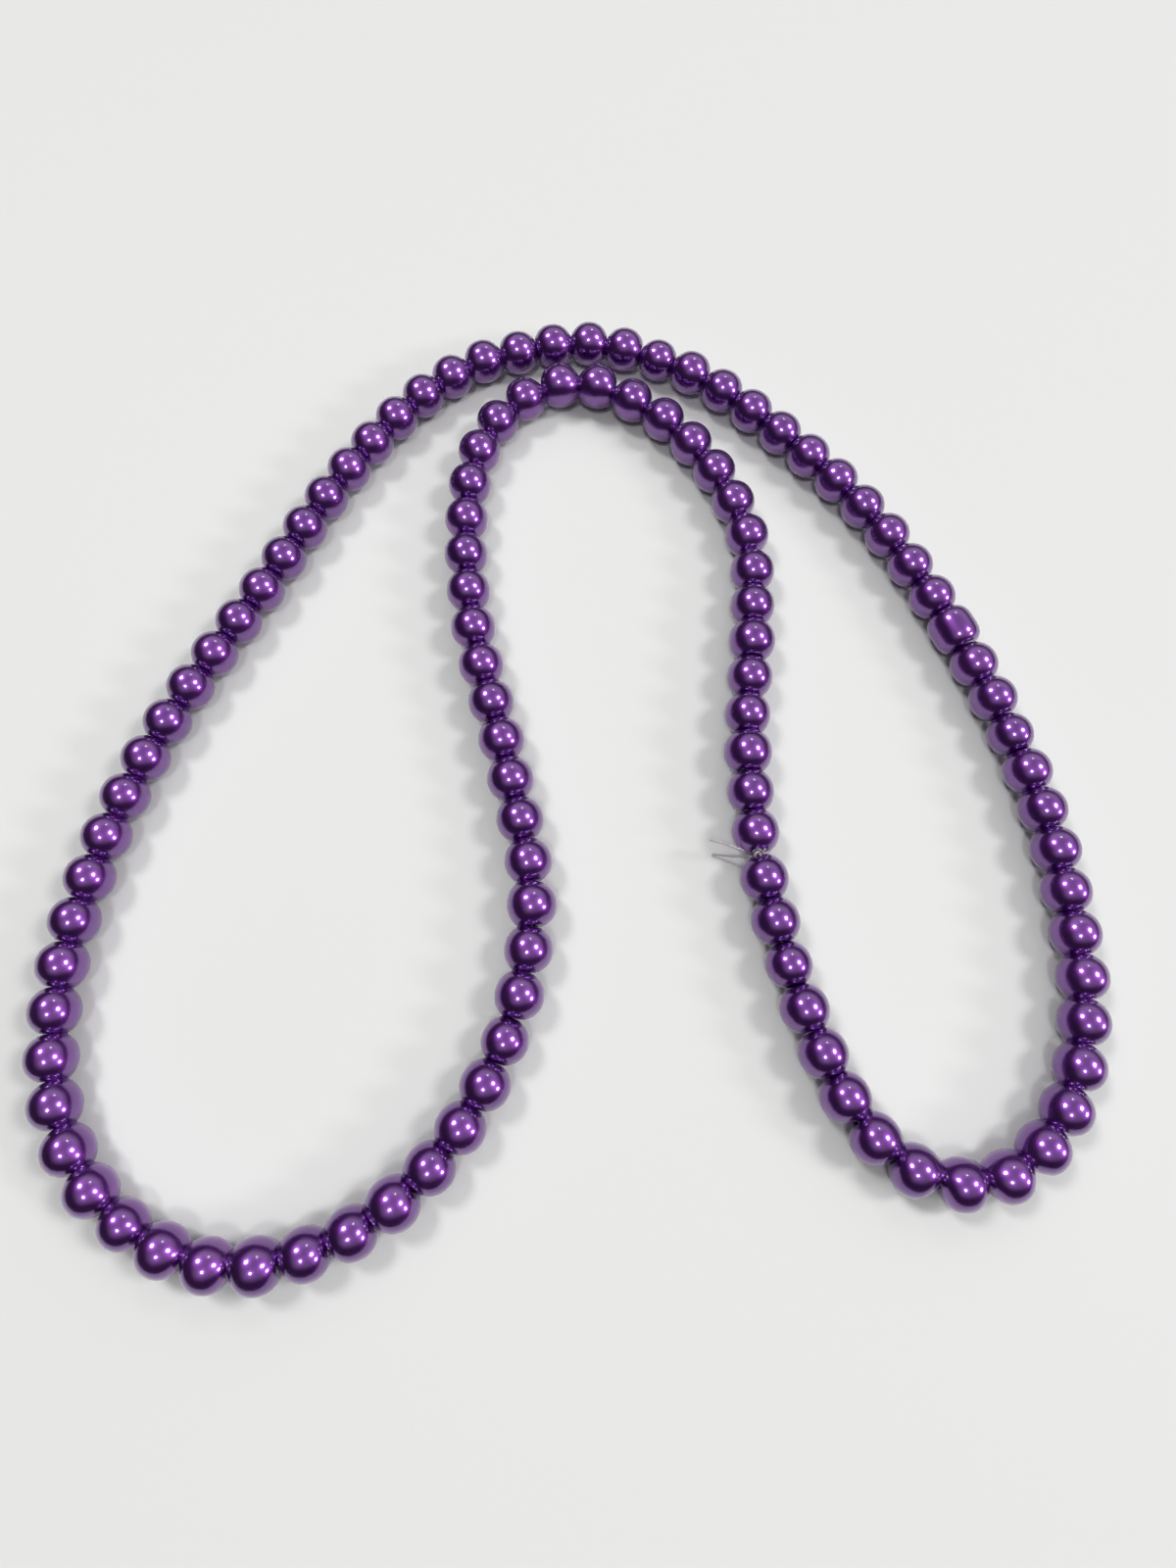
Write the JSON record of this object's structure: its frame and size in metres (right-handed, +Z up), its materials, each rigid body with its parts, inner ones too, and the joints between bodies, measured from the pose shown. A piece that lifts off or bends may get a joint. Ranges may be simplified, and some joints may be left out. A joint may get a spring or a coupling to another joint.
{
  "type": "beaded necklace",
  "caption": "Closed necklace of glossy round pearl-coated beads on a clear thread with a knot, lying flat in a folded loop.",
  "frame": {"origin": "on the table, under the middle of the necklace as it lies", "axes": "+Z up; +Y towards the far arch of the loop; +X towards the lobe with the knot beside it"},
  "size_m": [0.1776, 0.1804, 0.0086],
  "materials": {
    "pearl_coat": "deep purple pearl lacquer over pressed glass, mirror-like",
    "clear_nylon": "clear nylon monofilament, smooth"
  },
  "bodies": {
    "root": {"bead_run_01": "pearl_coat", "bead_run_02": "pearl_coat", "bead_run_03": "pearl_coat", "bead_run_04": "pearl_coat", "bead_run_05": "pearl_coat", "bead_run_06": "pearl_coat", "bead_run_07": "pearl_coat", "bead_run_08": "pearl_coat", "bead_run_09": "pearl_coat", "bead_run_10": "pearl_coat", "bead_run_11": "pearl_coat", "bead_run_12": "pearl_coat", "thread_knot": "clear_nylon"}
  },
  "joints": []
}
